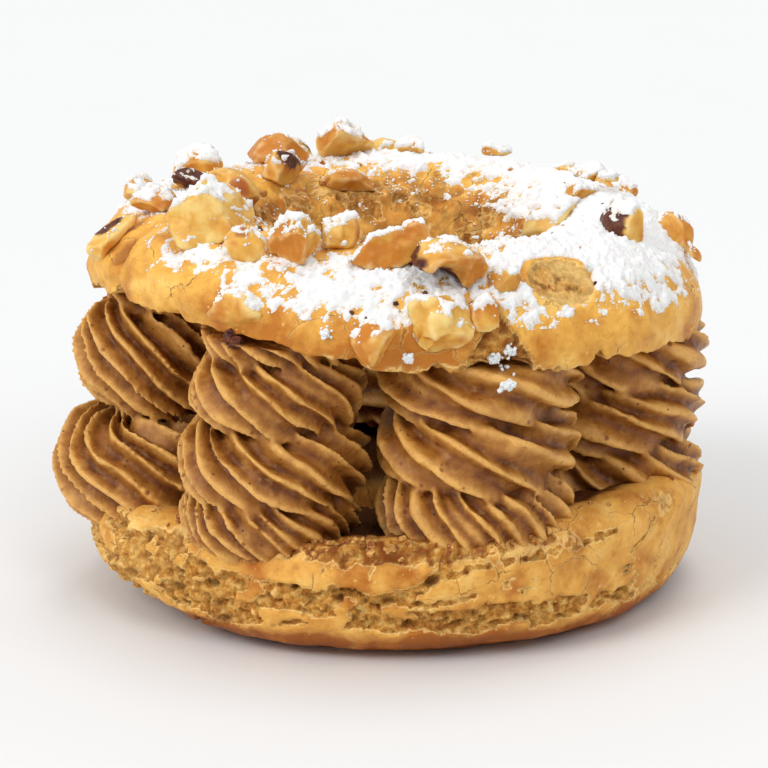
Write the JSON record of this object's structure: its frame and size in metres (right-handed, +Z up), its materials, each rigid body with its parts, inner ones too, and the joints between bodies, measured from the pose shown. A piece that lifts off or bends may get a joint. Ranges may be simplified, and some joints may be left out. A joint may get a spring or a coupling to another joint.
{
  "type": "paris brest pastry",
  "caption": "Ring-shaped choux pastry split through its middle, filled with piped swirls of praline cream and closed with a sugared lid carrying chopped hazelnuts",
  "frame": {"origin": "middle of the flat underside of the pastry's bounding box", "axes": "+X to the right as seen from the front, where the pastry is looked at from -Y; +Z up, out of the lid"},
  "size_m": [0.104, 0.1008, 0.0678],
  "materials": {
    "base_crust": "baked choux, pale golden, cracked and porous, matt",
    "lid_crust": "baked choux, golden brown, smooth with a soft sheen, dusted with icing sugar",
    "praline_cream": "piped praline cream, tan brown with dark nut specks, soft satin sheen",
    "hazelnut": "toasted hazelnut, cream to tan with brown skin left in places"
  },
  "bodies": {
    "root": {"base_choux": "base_crust", "lid_choux": "lid_crust", "cream_swirl_1": "praline_cream", "cream_swirl_2": "praline_cream", "cream_swirl_3": "praline_cream", "cream_swirl_4": "praline_cream", "cream_swirl_5": "praline_cream", "cream_swirl_6": "praline_cream", "cream_swirl_7": "praline_cream", "hazelnut_01": "hazelnut", "hazelnut_02": "hazelnut", "hazelnut_03": "hazelnut", "hazelnut_04": "hazelnut", "hazelnut_05": "hazelnut", "hazelnut_06": "hazelnut", "hazelnut_07": "hazelnut", "hazelnut_08": "hazelnut", "hazelnut_09": "hazelnut", "hazelnut_10": "hazelnut", "hazelnut_11": "hazelnut", "hazelnut_12": "hazelnut", "hazelnut_13": "hazelnut", "hazelnut_14": "hazelnut", "hazelnut_15": "hazelnut", "hazelnut_16": "hazelnut", "hazelnut_17": "hazelnut", "hazelnut_18": "hazelnut", "hazelnut_19": "hazelnut", "hazelnut_20": "hazelnut", "hazelnut_21": "hazelnut", "hazelnut_22": "hazelnut", "hazelnut_23": "hazelnut", "hazelnut_24": "hazelnut", "hazelnut_25": "hazelnut", "hazelnut_26": "hazelnut", "hazelnut_27": "hazelnut", "hazelnut_28": "hazelnut", "hazelnut_29": "hazelnut", "hazelnut_30": "hazelnut", "hazelnut_31": "hazelnut", "hazelnut_32": "hazelnut", "hazelnut_33": "hazelnut", "hazelnut_34": "hazelnut", "hazelnut_35": "hazelnut", "hazelnut_36": "hazelnut"}
  },
  "joints": []
}
